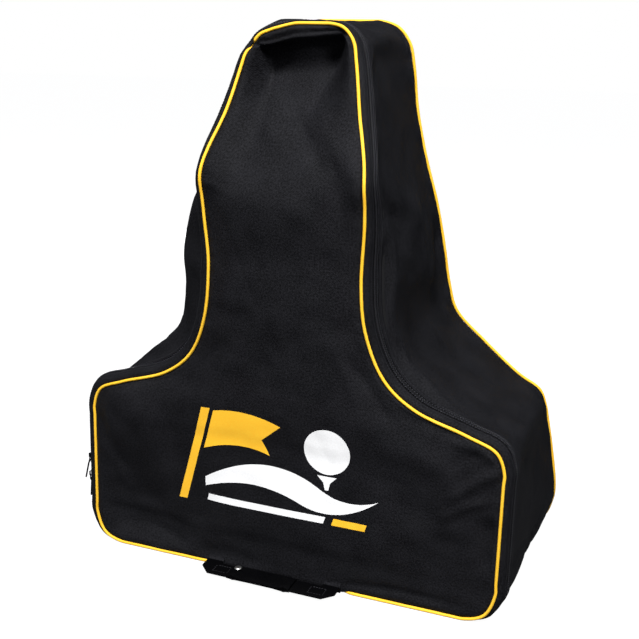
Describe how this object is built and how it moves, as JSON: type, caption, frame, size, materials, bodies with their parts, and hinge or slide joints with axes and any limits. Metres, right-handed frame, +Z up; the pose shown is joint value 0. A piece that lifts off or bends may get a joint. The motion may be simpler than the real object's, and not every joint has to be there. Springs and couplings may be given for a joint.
{
  "type": "golf travel case",
  "caption": "Soft zip-up bell-shaped travel bag for a folding golf trolley, with piped seams, an opening front and a carry handle.",
  "frame": {"origin": "middle of the footprint, on the floor", "axes": "+Z up, the zipped front with the handle faces -Y, +X is on the right seen from the front"},
  "size_m": [0.6632, 0.3848, 0.7733],
  "materials": {
    "cloth": "woven polyester, matte with a slight sheen",
    "piping": "bias tape over cord",
    "binding": "grosgrain seam binding",
    "zip_tape": "knitted zip tape",
    "zip_coil": "nylon coil",
    "webbing": "ribbed webbing",
    "grip": "padded wrap",
    "gunmetal": "gunmetal plated zinc",
    "steel": "nickel plated"
  },
  "bodies": {
    "bag": {"main_gusset": "cloth", "base_panel": "cloth", "zip_end_patch_right": "cloth", "zip_end_patch_left": "cloth", "front_base_panel": "cloth", "back_panel": "cloth", "front_base_piping": "piping", "back_piping": "piping", "front_base_binding": "binding", "back_seam_binding": "binding", "rear_zip_tape": "zip_tape", "rear_zip_coil": "zip_coil", "zip_stop_right": "gunmetal", "zip_stop_left": "gunmetal", "handle_anchor_right": "webbing", "handle_anchor_left": "webbing"},
    "front_flap": {"front_panel": "cloth", "front_piping": "piping", "front_seam_binding": "binding", "front_gusset_strip": "cloth", "front_zip_tape": "zip_tape", "front_zip_coil": "zip_coil"},
    "upper_slider": {"upper_slider": "gunmetal"},
    "upper_pull": {"upper_pull": "gunmetal"},
    "lower_slider": {"lower_slider": "gunmetal"},
    "lower_pull": {"lower_pull": "gunmetal"},
    "handle": {"handle_strap": "webbing", "handle_grip": "grip", "handle_stud": "steel"}
  },
  "joints": [
    {"name": "flap_fold", "type": "hinge", "parent": "bag", "child": "front_flap", "pos_m": [0, -0.15338, 0.04484], "axis": [1, 0, 0], "range_deg": [0, 90]},
    {"name": "upper_slider_run", "type": "slide", "parent": "bag", "child": "upper_slider", "axis": [0, 0, 1], "range_m": [0, 0.062]},
    {"name": "lower_slider_run", "type": "slide", "parent": "bag", "child": "lower_slider", "axis": [0, 0, 1], "range_m": [-0.023, 0]},
    {"name": "upper_pull_pin", "type": "hinge", "parent": "upper_slider", "child": "upper_pull", "pos_m": [-0.32297, -0.13298, 0.122], "axis": [0, 1, 0], "range_deg": [-4, 115]},
    {"name": "lower_pull_pin", "type": "hinge", "parent": "lower_slider", "child": "lower_pull", "pos_m": [-0.32297, -0.13298, 0.09274], "axis": [0, 1, 0], "range_deg": [-4, 45]},
    {"name": "handle_fold", "type": "hinge", "parent": "bag", "child": "handle", "pos_m": [-0.00546, -0.15748, 0.0095], "axis": [-1, 0, 0], "range_deg": [-78, 84]}
  ]
}
